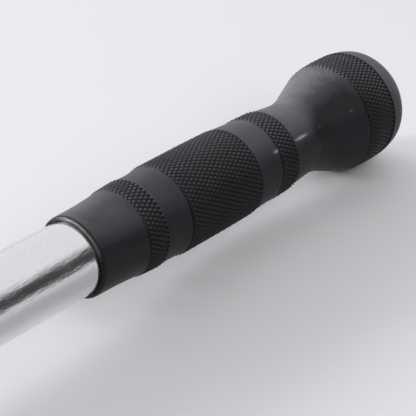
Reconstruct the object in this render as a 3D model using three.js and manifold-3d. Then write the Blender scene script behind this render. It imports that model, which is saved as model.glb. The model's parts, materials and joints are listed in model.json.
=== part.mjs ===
// A straight revolving pull bar: a plated steel tube with a moulded rubber grip on each end,
// held at its middle by a bent steel stirrup that carries a swivelling eye for the cable or sling.
// Millimetres. X runs along the bar, Z is up, and the bar lies on its two ball ends at z = 0,
// with the stirrup leaning over towards -Y until the rim of the eye rests on the same surface.
import * as THREE from "three";
import { mergeVertices } from "three/addons/utils/BufferGeometryUtils.js";
import Module from "manifold-3d";

const wasm = await Module();
wasm.setup();

// Whole bar
const OVERALL_LENGTH = 760;
const ROUND_SEGMENTS = 40; // shared by every round piece on the bar's axis, so that neighbours nest

// Steel tube
const TUBE_RADIUS = 12.7;
const TUBE_WALL = 3;
const TUBE_END_TO_GRIP_TIP = 22;

// Gaps
const FIXED_GAP = 0.15; // between pieces that don't move on each other
const RUNNING_GAP = 0.1; // radial play where one piece turns on another
const FACE_GAP = 0.2; // between flat faces

// Rubber grip: distance from its mouth, and outer radius, as pairs along its length
const LIP = [[0, 13.6], [0.7, 14.25], [8.5, 14.35]];
const MOUTH_CONE = [[17.3, 14.85], [20.0, 15.1]];
const FIRST_BAND = [[20.3, 15.35], [28.3, 15.95]];
const WAIST = [[28.6, 15.75], [33.5, 15.65], [37.5, 15.85], [39.6, 16.05]];
const HAND_SECTION = [[40.0, 16.45], [50.0, 16.5], [61.0, 16.65], [75.6, 16.55]];
const TAPER = [[76.0, 16.3], [82.3, 15.8], [87.6, 15.6]];
const THIRD_BAND = [[88.0, 15.85], [97.0, 15.65]];
const NECK = [[97.3, 15.3], [103.6, 14.6], [109.7, 14.2], [115.8, 14.75]];
const BELL = [[118.9, 15.6], [125.0, 17.95], [131.1, 20.25], [132.8, 20.75]];
const BALL_BAND = [[133.2, 21.1], [137.0, 21.45], [141.0, 21.7], [146.1, 21.7]];
const DOME = [
  [149.6, 21.35], [153.6, 20.35], [156.6, 18.6], [159.4, 15.8], [161.5, 12.3], [163.0, 7.8], [163.7, 0],
];
const GRIP_BORE_CHAMFER = 0.6;
const GRIP_OUTLINE = [
  ...LIP, ...MOUTH_CONE, ...FIRST_BAND, ...WAIST, ...HAND_SECTION, ...TAPER, ...THIRD_BAND, ...NECK, ...BELL,
  ...BALL_BAND, ...DOME,
];
const GRIP_LENGTH = DOME[DOME.length - 1][0];
const BALL_RADIUS = Math.max(...BALL_BAND.map(([, radius]) => radius));
const TUBE_HALF_LENGTH = OVERALL_LENGTH / 2 - TUBE_END_TO_GRIP_TIP;

// Plastic plug that closes each end of the tube, under the rubber
const PLUG_HEAD = 2;
const PLUG_DEPTH = 18;
const PLUG_WALL = 2;

// Stirrup: a flat steel strap bent to a U, its round eyes on the bar's axis
const STRAP_THICKNESS = 6;
const STRAP_INSIDE_HALF_WIDTH = 25;
const STRAP_BEND = 5;
const STRAP_END_RADIUS = 19.5;
const WEB_HALF_DEPTH = 12;
const WEB_FAR_FACE = 52; // from the bar's axis
const WEB_NEAR_FACE = WEB_FAR_FACE - STRAP_THICKNESS;
const STRAP_OUTSIDE_HALF_WIDTH = STRAP_INSIDE_HALF_WIDTH + STRAP_THICKNESS;

// Flanged bush in each leg, thrust washer and stop collar outside it
const BUSH_SLEEVE_RADIUS = 15;
const BUSH_FLANGE_RADIUS = 18;
const BUSH_FLANGE = 1.8;
const THRUST_WASHER_RADIUS = 17.5;
const THRUST_WASHER = 1.7;
const COLLAR_RADIUS = 20;
const COLLAR_LENGTH = 14;
const COLLAR_CHAMFER = 1;
const BUSH_FLANGE_FROM = STRAP_OUTSIDE_HALF_WIDTH + FACE_GAP;
const THRUST_WASHER_FROM = BUSH_FLANGE_FROM + BUSH_FLANGE + FACE_GAP;
const COLLAR_FROM = THRUST_WASHER_FROM + THRUST_WASHER + FACE_GAP;

// Set screws, two to a collar
const SCREW_RADIUS = 3;
const SCREW_SEGMENTS = 20;
const SCREW_RECESSED_BY = 0.6;
const SCREW_TO_TUBE = 0.3;
const SCREW_SOCKET_ACROSS_FLATS = 3;
const SCREW_SOCKET_DEPTH = 3;
const SCREW_ANGLES = { front: 45, back: -45 }; // degrees from straight up, about the bar's axis

// Swivelling eye: a ring with flat cheeks on a threaded shank
const EYE_SEGMENTS = 32;
const EYE_HOLE_RADIUS = 12;
const EYE_OUTER_RADIUS = 22;
const EYE_THICKNESS = 10;
const EYE_FLAT_FROM = 14.5;
const EYE_FLAT_TO = 19.5;
const EYE_CENTRE = 80; // from the bar's axis
const SHANK_RADIUS = 6;
const SHANK_END = 29.5; // from the bar's axis
const SHOULDER_RADIUS = 10.5;
const SHOULDER = 3;
const SHOULDER_NECK_TOP = 65;
const EYE_WASHER_RADIUS = 11.5;
const EYE_WASHER = 1.8;
const EYE_WASHER_FROM = WEB_FAR_FACE + FACE_GAP;
const SHOULDER_FROM = EYE_WASHER_FROM + EYE_WASHER + FACE_GAP;

// Lock nut under the web, with its washer and nylon ring
const NUT_WASHER = 2;
const NUT_ACROSS_FLATS = 19;
const NUT_HEX_HEIGHT = 9;
const NUT_COLLAR_HEIGHT = 3;
const NUT_COLLAR_RADIUS = 8.9;
const NYLON_OUTER_RADIUS = 7.9;
const NYLON_LENGTH = 2.4;
const NUT_WASHER_TO = WEB_NEAR_FACE - FACE_GAP;
const NUT_TO = NUT_WASHER_TO - NUT_WASHER - FACE_GAP;
const NUT_COLLAR_TO = NUT_TO - NUT_HEX_HEIGHT;
const NUT_FROM = NUT_COLLAR_TO - NUT_COLLAR_HEIGHT;

// The flats of the ball ends rest on the surface, so the axis is as high as the flats are from the middle.
const AXIS_HEIGHT = BALL_RADIUS * Math.cos(Math.PI / ROUND_SEGMENTS);

// The stirrup leans over until the far edge of the eye's lower cheek is level with the foot of the balls.
const EYE_REACH = EYE_CENTRE + EYE_FLAT_TO * Math.cos(Math.PI / EYE_SEGMENTS);
const LEAN =
  Math.asin(AXIS_HEIGHT / Math.hypot(EYE_REACH, EYE_THICKNESS / 2)) - Math.atan2(EYE_THICKNESS / 2, EYE_REACH);

const MATERIALS = {
  chrome: new THREE.MeshStandardMaterial({ color: 0xd9dadc, metalness: 1, roughness: 0.12 }),
  rubber: new THREE.MeshStandardMaterial({ color: 0x2b2c2e, metalness: 0, roughness: 0.6 }),
  bronze: new THREE.MeshStandardMaterial({ color: 0xb08a4e, metalness: 1, roughness: 0.35 }),
  steel: new THREE.MeshStandardMaterial({ color: 0x8e9196, metalness: 1, roughness: 0.35 }),
  nylon: new THREE.MeshStandardMaterial({ color: 0xe8e6df, metalness: 0, roughness: 0.5 }),
  plastic: new THREE.MeshStandardMaterial({ color: 0x1b1b1c, metalness: 0, roughness: 0.5 }),
};

const X = new THREE.Vector3(1, 0, 0);
const Y = new THREE.Vector3(0, 1, 0);
const Z = new THREE.Vector3(0, 0, 1);

// A solid of revolution about +X. The outline holds [x, radius] pairs, and its outer side runs towards +X.
function turnedOnX(outline, segments = ROUND_SEGMENTS) {
  return turnedOnY(outline, segments).rotateZ(-Math.PI / 2);
}

// The same about +Z.
function turnedOnZ(outline, segments = EYE_SEGMENTS) {
  return turnedOnY(outline, segments).rotateX(Math.PI / 2);
}

// The same about +Y, with the middle of a flat, not an edge, in each of the four main directions.
function turnedOnY(outline, segments) {
  const points = outline.map(([along, radius]) => new THREE.Vector2(radius, along));
  return new THREE.LatheGeometry(points, segments, Math.PI / segments);
}

// The outline of a plain or bored round piece, closed on itself.
function ringOutline(from, to, innerRadius, outerRadius) {
  return [[from, innerRadius], [from, outerRadius], [to, outerRadius], [to, innerRadius], [from, innerRadius]];
}

function discOutline(from, to, radius) {
  return [[from, 0], [from, radius], [to, radius], [to, 0]];
}

// A six-sided prism along +Z.
function hexagonPrism(acrossFlats, from, to) {
  const cornerRadius = acrossFlats / 2 / Math.cos(Math.PI / 6);
  return new THREE.CylinderGeometry(cornerRadius, cornerRadius, to - from, 6)
    .rotateX(Math.PI / 2)
    .translate(0, 0, (from + to) / 2);
}

// A flat outline given depth, its own x, y and depth directions laid on three axes.
function extruded(shape, depth, right, up, out) {
  const curveSegments = 14;
  return new THREE.ExtrudeGeometry(shape, { depth, bevelEnabled: false, curveSegments })
    .translate(0, 0, -depth / 2)
    .applyMatrix4(new THREE.Matrix4().makeBasis(right, up, out));
}

function solid(geometry) {
  geometry.deleteAttribute("normal");
  geometry.deleteAttribute("uv");
  const merged = mergeVertices(geometry, 1e-4);
  return new wasm.Manifold(
    new wasm.Mesh({
      numProp: 3,
      vertProperties: merged.attributes.position.array,
      triVerts: new Uint32Array(merged.index.array),
    }),
  );
}

function geometryOf(body) {
  const mesh = body.getMesh();
  const positions = new Float32Array(mesh.numVert * 3);
  for (let i = 0; i < mesh.numVert; i++) {
    positions.set(mesh.vertProperties.subarray(i * mesh.numProp, i * mesh.numProp + 3), i * 3);
  }
  return new THREE.BufferGeometry()
    .setAttribute("position", new THREE.BufferAttribute(positions, 3))
    .setIndex(new THREE.BufferAttribute(new Uint32Array(mesh.triVerts), 1));
}

function piece(name, geometry, material) {
  const mesh = new THREE.Mesh(geometry, material);
  mesh.name = name;
  return mesh;
}

function barTube() {
  const inner = TUBE_RADIUS - TUBE_WALL;
  return turnedOnX(ringOutline(-TUBE_HALF_LENGTH, TUBE_HALF_LENGTH, inner, TUBE_RADIUS));
}

// The right-hand grip: its moulded outside, and the blind bore that takes the tube.
function grip() {
  const mouth = OVERALL_LENGTH / 2 - GRIP_LENGTH;
  const boreRadius = TUBE_RADIUS + FIXED_GAP;
  const boreEnd = TUBE_HALF_LENGTH + PLUG_HEAD + 2 * FACE_GAP;
  const outside = GRIP_OUTLINE.map(([along, radius]) => [mouth + along, radius]);
  const bore = [[boreEnd, 0], [boreEnd, boreRadius], [mouth + GRIP_BORE_CHAMFER, boreRadius]];
  return turnedOnX([...bore, ...outside]);
}

// The right-hand plug: a cap over the tube's end and a hollow barrel inside it.
function tubePlug() {
  const barrelRadius = TUBE_RADIUS - TUBE_WALL - FIXED_GAP;
  const headFrom = TUBE_HALF_LENGTH + FACE_GAP;
  const headTo = headFrom + PLUG_HEAD;
  const barrelFrom = TUBE_HALF_LENGTH - PLUG_DEPTH;
  return turnedOnX([
    [headFrom, 0],
    [headFrom, barrelRadius - PLUG_WALL],
    [barrelFrom, barrelRadius - PLUG_WALL],
    [barrelFrom, barrelRadius],
    [headFrom, barrelRadius],
    [headFrom, TUBE_RADIUS - FIXED_GAP],
    [headTo, TUBE_RADIUS - FIXED_GAP],
    [headTo, 0],
  ]);
}

// The U of the strap seen along Y, a little longer than its round ends.
function strapSideOutline() {
  const outer = STRAP_OUTSIDE_HALF_WIDTH;
  const inner = STRAP_INSIDE_HALF_WIDTH;
  const outerBend = STRAP_BEND + STRAP_THICKNESS;
  const foot = -STRAP_END_RADIUS - 1;
  const outline = new THREE.Shape();
  outline.moveTo(outer, foot);
  outline.lineTo(outer, WEB_FAR_FACE - outerBend);
  outline.absarc(outer - outerBend, WEB_FAR_FACE - outerBend, outerBend, 0, Math.PI / 2);
  outline.absarc(-outer + outerBend, WEB_FAR_FACE - outerBend, outerBend, Math.PI / 2, Math.PI);
  outline.lineTo(-outer, foot);
  outline.lineTo(-inner, foot);
  outline.absarc(-inner + STRAP_BEND, WEB_NEAR_FACE - STRAP_BEND, STRAP_BEND, Math.PI, Math.PI / 2, true);
  outline.absarc(inner - STRAP_BEND, WEB_NEAR_FACE - STRAP_BEND, STRAP_BEND, Math.PI / 2, 0, true);
  outline.lineTo(inner, foot);
  return outline;
}

// The strap seen along the bar: round about the bar's axis, tapering to the web.
function strapTaperOutline() {
  const top = WEB_FAR_FACE + 1;
  const distance = Math.hypot(WEB_HALF_DEPTH, top);
  const tangent = Math.atan2(top, WEB_HALF_DEPTH) - Math.acos(STRAP_END_RADIUS / distance);
  const outline = new THREE.Shape();
  outline.moveTo(WEB_HALF_DEPTH, top);
  outline.lineTo(-WEB_HALF_DEPTH, top);
  outline.absarc(0, 0, STRAP_END_RADIUS, Math.PI - tangent, 2 * Math.PI + tangent);
  return outline;
}

function stirrup() {
  const side = extruded(strapSideOutline(), 2 * STRAP_END_RADIUS + 4, X, Z, Y.clone().negate());
  const taper = extruded(strapTaperOutline(), 2 * STRAP_OUTSIDE_HALF_WIDTH + 4, Y, Z, X);
  const reach = STRAP_OUTSIDE_HALF_WIDTH + 5;
  const bushHoles = turnedOnX(discOutline(-reach, reach, BUSH_SLEEVE_RADIUS + FIXED_GAP));
  const shankHole = turnedOnZ(discOutline(WEB_NEAR_FACE - 3, WEB_FAR_FACE + 3, SHANK_RADIUS + FIXED_GAP));
  return geometryOf(solid(side).intersect(solid(taper)).subtract(solid(bushHoles)).subtract(solid(shankHole)));
}

// The right-hand bush: a sleeve through the leg and a flange against its outer face.
function bush() {
  const bore = TUBE_RADIUS + RUNNING_GAP;
  const flangeTo = BUSH_FLANGE_FROM + BUSH_FLANGE;
  return turnedOnX([
    [STRAP_INSIDE_HALF_WIDTH, bore],
    [STRAP_INSIDE_HALF_WIDTH, BUSH_SLEEVE_RADIUS],
    [BUSH_FLANGE_FROM, BUSH_SLEEVE_RADIUS],
    [BUSH_FLANGE_FROM, BUSH_FLANGE_RADIUS],
    [flangeTo, BUSH_FLANGE_RADIUS],
    [flangeTo, bore],
    [STRAP_INSIDE_HALF_WIDTH, bore],
  ]);
}

function thrustWasher() {
  const from = THRUST_WASHER_FROM;
  return turnedOnX(ringOutline(from, from + THRUST_WASHER, TUBE_RADIUS + FIXED_GAP, THRUST_WASHER_RADIUS));
}

// Lays a piece that points along +Z at one of the set screws' angles, half way along the right-hand collar.
function atScrew(geometry, angle) {
  return geometry.rotateX(THREE.MathUtils.degToRad(angle)).translate(COLLAR_FROM + COLLAR_LENGTH / 2, 0, 0);
}

function collar() {
  const bore = TUBE_RADIUS + FIXED_GAP;
  const to = COLLAR_FROM + COLLAR_LENGTH;
  let body = solid(
    turnedOnX([
      [COLLAR_FROM, bore],
      [COLLAR_FROM, COLLAR_RADIUS - COLLAR_CHAMFER],
      [COLLAR_FROM + COLLAR_CHAMFER, COLLAR_RADIUS],
      [to - COLLAR_CHAMFER, COLLAR_RADIUS],
      [to, COLLAR_RADIUS - COLLAR_CHAMFER],
      [to, bore],
      [COLLAR_FROM, bore],
    ]),
  );
  for (const angle of Object.values(SCREW_ANGLES)) {
    const hole = turnedOnZ(discOutline(bore - 2, COLLAR_RADIUS + 2, SCREW_RADIUS + RUNNING_GAP), SCREW_SEGMENTS);
    body = body.subtract(solid(atScrew(hole, angle)));
  }
  return geometryOf(body);
}

// A headless screw with a six-sided socket in its outer end.
function setScrew(angle) {
  const from = TUBE_RADIUS + SCREW_TO_TUBE;
  const to = COLLAR_RADIUS - SCREW_RECESSED_BY;
  const point = [[from, 0], [from, SCREW_RADIUS - 0.8], [from + 0.8, SCREW_RADIUS]];
  const end = [[to - 0.4, SCREW_RADIUS], [to, SCREW_RADIUS - 0.4], [to, 0]];
  const body = solid(turnedOnZ([...point, ...end], SCREW_SEGMENTS));
  const socket = solid(hexagonPrism(SCREW_SOCKET_ACROSS_FLATS, to - SCREW_SOCKET_DEPTH, to + 1));
  return atScrew(geometryOf(body.subtract(socket)), angle);
}

// The ring stands on the threaded shank; its hole is along Y before the stirrup leans over.
function swivelEye() {
  const half = EYE_THICKNESS / 2;
  const ring = turnedOnY(
    [
      [half, EYE_FLAT_FROM],
      [half - 1.2, EYE_HOLE_RADIUS + 0.7],
      [half - 3, EYE_HOLE_RADIUS],
      [3 - half, EYE_HOLE_RADIUS],
      [1.2 - half, EYE_HOLE_RADIUS + 0.7],
      [-half, EYE_FLAT_FROM],
      [-half, EYE_FLAT_TO],
      [1.2 - half, EYE_OUTER_RADIUS - 0.7],
      [3 - half, EYE_OUTER_RADIUS],
      [half - 3, EYE_OUTER_RADIUS],
      [half - 1.2, EYE_OUTER_RADIUS - 0.7],
      [half, EYE_FLAT_TO],
      [half, EYE_FLAT_FROM],
    ],
    EYE_SEGMENTS,
  ).translate(0, 0, EYE_CENTRE);
  const stem = turnedOnZ([
    [SHANK_END, 0],
    [SHANK_END, SHANK_RADIUS - 1],
    [SHANK_END + 1, SHANK_RADIUS],
    [SHOULDER_FROM, SHANK_RADIUS],
    [SHOULDER_FROM, SHOULDER_RADIUS],
    [SHOULDER_FROM + SHOULDER, SHOULDER_RADIUS],
    [SHOULDER_NECK_TOP, EYE_THICKNESS / 2 - 0.5],
    [SHOULDER_NECK_TOP, 0],
  ]);
  return geometryOf(solid(ring).add(solid(stem)));
}

function eyeWasher() {
  const bore = SHANK_RADIUS + FIXED_GAP;
  return turnedOnZ(ringOutline(EYE_WASHER_FROM, EYE_WASHER_FROM + EYE_WASHER, bore, EYE_WASHER_RADIUS));
}

function nutWasher() {
  const bore = SHANK_RADIUS + FIXED_GAP;
  return turnedOnZ(ringOutline(NUT_WASHER_TO - NUT_WASHER, NUT_WASHER_TO, bore, EYE_WASHER_RADIUS));
}

function lockNut() {
  const hexagon = solid(hexagonPrism(NUT_ACROSS_FLATS, NUT_COLLAR_TO, NUT_TO));
  const collarBody = solid(turnedOnZ(discOutline(NUT_FROM, NUT_COLLAR_TO + 1, NUT_COLLAR_RADIUS)));
  const bore = solid(turnedOnZ(discOutline(NUT_FROM - 1, NUT_TO + 1, SHANK_RADIUS + FIXED_GAP)));
  const pocket = solid(turnedOnZ(discOutline(NUT_FROM - 1, NUT_COLLAR_TO, NYLON_OUTER_RADIUS + FIXED_GAP)));
  return geometryOf(hexagon.add(collarBody).subtract(bore).subtract(pocket));
}

function nylonRing() {
  const to = NUT_COLLAR_TO - FACE_GAP;
  return turnedOnZ(ringOutline(to - NYLON_LENGTH, to, SHANK_RADIUS + FIXED_GAP, NYLON_OUTER_RADIUS));
}

// The two ends are alike, so the left one is the right one turned half round about Z.
function rightAndLeft(name, make, material) {
  return [piece("right_" + name, make(), material), piece("left_" + name, make().rotateZ(Math.PI), material)];
}

const bar = new THREE.Group();
bar.name = "bar";
bar.add(piece("bar_tube", barTube(), MATERIALS.chrome));
bar.add(...rightAndLeft("grip", grip, MATERIALS.rubber));
bar.add(...rightAndLeft("tube_plug", tubePlug, MATERIALS.plastic));
bar.add(...rightAndLeft("thrust_washer", thrustWasher, MATERIALS.nylon));
bar.add(...rightAndLeft("stop_collar", collar, MATERIALS.chrome));
for (const [place, angle] of Object.entries(SCREW_ANGLES)) {
  bar.add(piece("right_collar_screw_" + place, setScrew(angle), MATERIALS.steel));
  bar.add(piece("left_collar_screw_" + place, setScrew(-angle).rotateZ(Math.PI), MATERIALS.steel));
}

const hanger = new THREE.Group();
hanger.name = "hanger";
hanger.add(piece("stirrup", stirrup(), MATERIALS.chrome));
hanger.add(...rightAndLeft("bush", bush, MATERIALS.bronze));
hanger.add(piece("eye_washer", eyeWasher(), MATERIALS.bronze));
hanger.add(piece("swivel_eye", swivelEye(), MATERIALS.chrome));
hanger.add(piece("nut_washer", nutWasher(), MATERIALS.steel));
hanger.add(piece("lock_nut", lockNut(), MATERIALS.steel));
hanger.add(piece("lock_nut_ring", nylonRing(), MATERIALS.nylon));
hanger.rotation.x = Math.PI / 2 + LEAN;

const assembly = new THREE.Group();
assembly.name = "pull_up_bar";
assembly.add(bar, hanger);
assembly.updateMatrixWorld(true);

// The origin is the middle of the base of the whole part.
const box = new THREE.Box3().setFromObject(assembly, true);
bar.position.set(0, -(box.min.y + box.max.y) / 2, AXIS_HEIGHT);
hanger.position.copy(bar.position);

export default assembly;
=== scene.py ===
"""The looks of the straight revolving pull bar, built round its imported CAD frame.

The right-hand grip and the end of the tube fill the picture. Every piece of the left half is its right-hand
twin turned half round. The hanger at the middle of the bar is outside the picture.
Meshes are made in millimetres, in one of two working frames, and are moved to the CAD's frame at the end.
"""

import json
import math

import bmesh
import bpy
from mathutils import Matrix, Vector


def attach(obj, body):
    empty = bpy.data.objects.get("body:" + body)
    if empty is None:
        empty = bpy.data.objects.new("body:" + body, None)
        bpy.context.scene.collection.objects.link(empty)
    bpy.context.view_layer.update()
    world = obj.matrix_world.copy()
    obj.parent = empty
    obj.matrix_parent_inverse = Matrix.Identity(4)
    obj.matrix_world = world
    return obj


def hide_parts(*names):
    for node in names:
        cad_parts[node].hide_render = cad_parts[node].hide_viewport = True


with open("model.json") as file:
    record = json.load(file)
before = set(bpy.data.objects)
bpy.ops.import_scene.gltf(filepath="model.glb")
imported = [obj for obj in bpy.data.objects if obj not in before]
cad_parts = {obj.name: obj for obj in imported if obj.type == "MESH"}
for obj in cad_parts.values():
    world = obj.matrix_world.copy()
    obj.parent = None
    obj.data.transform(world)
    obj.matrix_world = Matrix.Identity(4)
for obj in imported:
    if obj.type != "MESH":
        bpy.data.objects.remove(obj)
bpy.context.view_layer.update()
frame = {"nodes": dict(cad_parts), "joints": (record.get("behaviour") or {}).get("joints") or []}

MM = 0.001


# ---------------------------------------------------------------- places read from the frame

def joint_named(name):
    return next(joint for joint in frame["joints"] if joint["name"] == name)


SIDE = Vector((1, 0, 0))
UP = Vector((0, 0, 1))
HANG = Vector(joint_named("eye_swivel")["axis"])
AXIS = Vector(joint_named("eye_swivel")["pos_m"])


def reach(node, direction):
    """How far a CAD node reaches along a direction, from the crossing of the two axes, in millimetres."""
    found = [(v.co - AXIS).dot(direction) / MM for v in frame["nodes"][node].data.vertices]
    return min(found), max(found)


def radius_of(node, direction):
    """The largest distance of a CAD node from the axis along a direction, in millimetres."""
    found = []
    for v in frame["nodes"][node].data.vertices:
        arm = v.co - AXIS
        found.append((arm - direction * arm.dot(direction)).length / MM)
    return max(found)


# The bar's frame: X along the bar, Z up. The hanger's: X along the bar, Z from the bar to the eye.
BAR_FRAME = Matrix.Translation(AXIS) @ Matrix.Scale(MM, 4)
HANG_TURN = Matrix((SIDE, HANG.cross(SIDE), HANG)).transposed().to_4x4()
HANG_FRAME = Matrix.Translation(AXIS) @ HANG_TURN @ Matrix.Scale(MM, 4)
ALONG_BAR = Matrix.Rotation(math.pi / 2, 4, "Y")  # lays a piece turned about Z along the bar

GRIP_MOUTH, GRIP_TIP = reach("right_grip", SIDE)
BALL_RADIUS = reach("right_grip", UP)[1]
MOUTH = AXIS + SIDE * GRIP_MOUTH * MM
TUBE_RADIUS = radius_of("bar_tube", SIDE)
TUBE_HALF_LENGTH = reach("bar_tube", SIDE)[1]

# ---------------------------------------------------------------- sizes in millimetres

TUBE_WALL = 3

# Gaps between fixed pieces, between the tube and the grip, and where one piece turns on another
FIXED_GAP = 0.15
GRIP_GAP = 0.04
RUNNING_GAP = 0.1

# The grip's bore at its mouth: distance from the mouth, and how much wider than the bore
BORE_LIP = [(2.2, 0), (0.4, 0.02), (0.06, 0.1)]

# The grip's outline: distance from the mouth and outer radius
LIP = [(0.0, 13.5), (0.12, 13.85), (0.35, 14.05), (0.8, 14.15)]
MOUTH_CONE = [(1.2, 14.18), (8.5, 14.35), (17.3, 14.88), (20.2, 15.1)]
FIRST_BAND = [(20.2, 15.6), (28.3, 16.12)]
WAIST = [(28.3, 15.7), (33.5, 15.62), (37.0, 15.8), (39.9, 16.05)]
HAND_SECTION = [(39.9, 16.55), (50.0, 16.6), (61.0, 16.68), (75.6, 16.58)]
TAPER = [(75.6, 16.2), (82.3, 15.78), (87.8, 15.58)]
THIRD_BAND = [(87.8, 16.0), (96.9, 15.78)]
NECK = [(96.9, 15.3), (103.6, 14.62), (108.0, 14.25), (111.6, 14.1)]
BELL = [(111.6, 14.1), (115.8, 14.78), (118.9, 15.6), (125.0, 17.95), (131.1, 20.2), (132.9, 20.7)]
BALL_BAND = [(133.1, 21.15), (137.0, 21.48), (141.0, 21.7), (147.8, 21.6)]
DOME = [
    (147.8, 21.42), (149.8, 21.15), (153.6, 20.3), (156.6, 18.58), (159.4, 15.8), (161.5, 12.3),
    (163.0, 7.8),
]
TIP = GRIP_TIP - GRIP_MOUTH
TIP_RISE = 0.1  # the last of the dome, from its last ring to the middle of its end
TIP_RADIUS = 3.6
BORE_END = 141.4
CREASE_WIDTH = 0.35
CREASE_DEPTH = 0.4
MERGE_DISTANCE = 0.002

# Knurling. The top and the groove are shares of half a diamond; the samples are vertices per diamond.
KNURL_DEPTH = 0.8
KNURL_LENGTH = 3.0
KNURL_SAMPLES = 6
KNURL_TOP = 0.14
KNURL_GROOVE = 0.1
PLAIN_HEIGHT = 0.6  # what plain rubber counts as, between 0 in a groove and 1 on a diamond
BAND_DIAMONDS = 57
HAND_DIAMONDS = 60
BALL_DIAMONDS = 78

# Marks on the grip. Angles are about the bar, from straight down, and positive towards the back.
PARTING_ANGLES = (math.radians(-124), math.radians(56))
PARTING_HEIGHT = 0.12
PARTING_WIDTH = 0.35

# Stretches of the parting line with rubbing and a painted bright glint: from, to and strength
RUB_AND_GLINT_WIDTH = 0.75
RUB_AND_GLINT_MARKS = [(96.9, 106.5, 0.9), (84.6, 88.8, 0.7), (112.2, 113.6, 0.1), (126.4, 127.8, 0.2)]
RUB_AND_GLINT_ELSEWHERE = 0.01

# Dusting with a painted sheen along the grip's upper side, and how far it leans from the top, in degrees,
# positive towards the front
DUST_AND_SHEEN = [
    (0, 0.42), (20, 0.28), (20.5, 0.42), (28, 0.4), (29, 0.19), (80, 0.26), (95, 0.3), (101, 0.4),
    (125, 0.5), (140, 0.3), (164, 0.35),
]
DUST_AND_SHEEN_LEAN = [(0, -14), (20, 0), (108, 0), (116, -35), (128, -35), (138, 0), (150, 25), (164, 25)]
DUST_AND_SHEEN_ON_DIAMONDS = 2.3  # times as much on a diamond's top as on plain rubber
DUST_AND_SHEEN_ON_EDGE_ROW = 4.5  # and on the row at a band's edge towards the tube
EDGE_ROW = 1.4  # the width of that row
MOST_DUST_AND_SHEEN = 0.95

SCUFF_PLACE = (127.5, math.radians(-178))
SCUFF_RADIUS = 6.5
LIP_GLINT = (0.35, 0.55, 0.6, 0.15)  # painted highlight along the lip's upper rim, on the rings from the bore to the outside of the lip
LIP_GLINT_ANGLE = math.radians(-165)

# Hanger
BUSH_SLEEVE_RADIUS = 15
BUSH_FLANGE = 1.8
STRAP_THICKNESS = 6
STRAP_BEND = 5
WEB_HALF_DEPTH = 12
SHANK_RADIUS = 6
SHANK_PITCH = 1.75
THREAD_TO = 50  # from the bar's axis, as the four that follow
SHANK_TO = 56  # inside the shoulder
SHOULDER_FROM = 54.2
SHOULDER_TO = 57.2
EYE_CENTRE = 80
SHOULDER_RADIUS = 10.5
EYE_HOLE_RADIUS = 12.0
EYE_HALF_THICKNESS = 5
EYE_STEPS = 24
NECK_STEPS = 12
CAD_EYE_SIDES = 32
SCREW_RADIUS = 3
SCREW_PITCH = 1
SCREW_SOCKET = 3
SCREW_ANGLES = {"front": math.radians(45), "back": math.radians(-45)}  # from straight up
NUT_CROWN_RADIUS = 8.9
NUT_CROWN_HEIGHT = 3
NUT_FLATS = 19

# ---------------------------------------------------------------- camera and light

CAMERA_OFFSET = Vector((-255.8, -279.2, 231.4)) * MM  # from the mouth of the right-hand grip
CAMERA_FORWARD = Vector((0.65654, 0.57098, -0.49289))
CAMERA_LENS = 121.15
CAMERA_SENSOR = 36

# Three soft lights: azimuth, elevation, distance and diameter, and the radiance of the disc
LIGHTS = {
    "key": (132, 15, 2.5, 0.5, 73),
    "back": (95, 23, 2.5, 1.2, 6),
    "front": (250, 36, 2.5, 1.5, 3.3),
}
TINT = (0.982, 0.99, 1.022)

# The world's brightness: the ceiling near the camera and far from it, the wall behind the bar, the dim band
# elsewhere, and the strip along the horizon
CEILING_NEAR = 0.15
CEILING_FAR = 1.0
WALL = 1.0
WALL_AZIMUTH = 45
DIM = 0.07
HORIZON = 0.3
BACKDROP = (0.78, 0.79, 0.81)  # what the camera sees past the floor

# Where each fades in, between two values of a part of the unit direction
CEILING_FADE = (0.4, 0.63)  # its Z
NEAR_TO_FAR = (-0.4, 0.3)  # its X
WALL_FADE = (0.25, 0.6)  # its part towards the wall
HORIZON_FADE = (0.22, 0)  # its Z

FLOOR_COLOUR = (0.8, 0.803, 0.8, 1)

# ---------------------------------------------------------------- rubber colours

RUBBER_SHINE = 0.24
RUBBER_ROUGH = (0.42, 0.58)
RUBBER_DARK = (0.006, 0.0066, 0.0086)
RUBBER_BLOOM = (0.011, 0.012, 0.0146)
# dusting, and a painted sheen on the upper side
RUBBER_DUST_AND_SHEEN = (0.3, 0.305, 0.325)
# diamond tops paled by wearing, with a painted highlight on them
RUBBER_WORN_AND_LIT_TOP = (0.1, 0.101, 0.106)
# painted shade in the grooves between the diamonds
RUBBER_GROOVE_SHADE = (0.002, 0.002, 0.0024)
RUBBER_SCUFF = (0.2, 0.203, 0.21)
# rubbing along the parting line, and a painted glint on it and on the lip's rim
RUBBER_RUBBED_GLINT = (0.4, 0.395, 0.38)


# ---------------------------------------------------------------- mesh tools

def mesh_from(name, bm, place=Matrix()):
    """The bmesh as a mesh, moved to its place, with its faces turned outwards."""
    bmesh.ops.recalc_face_normals(bm, faces=bm.faces)
    mesh = bpy.data.meshes.new(name)
    bm.to_mesh(mesh)
    bm.free()
    mesh.transform(place)
    return mesh


def linked(name, mesh):
    made = bpy.data.objects.new(name, mesh)
    bpy.context.scene.collection.objects.link(made)
    return made


def bake_modifiers(piece):
    """Turns the piece's modifiers into plain mesh."""
    bpy.context.view_layer.update()
    result = bpy.data.meshes.new_from_object(piece.evaluated_get(bpy.context.evaluated_depsgraph_get()))
    piece.modifiers.clear()
    piece.data = result


def combined(mesh, operation, *others):
    """The mesh joined with, cut by or kept within the other meshes."""
    piece = linked("work", mesh)
    tools = [linked("tool", other) for other in others]
    for tool in tools:
        modifier = piece.modifiers.new("boolean", "BOOLEAN")
        modifier.operation = operation
        modifier.solver = "EXACT"
        modifier.object = tool
    bake_modifiers(piece)
    result = piece.data
    for used in [piece] + tools:
        bpy.data.objects.remove(used)
    return result


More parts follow.
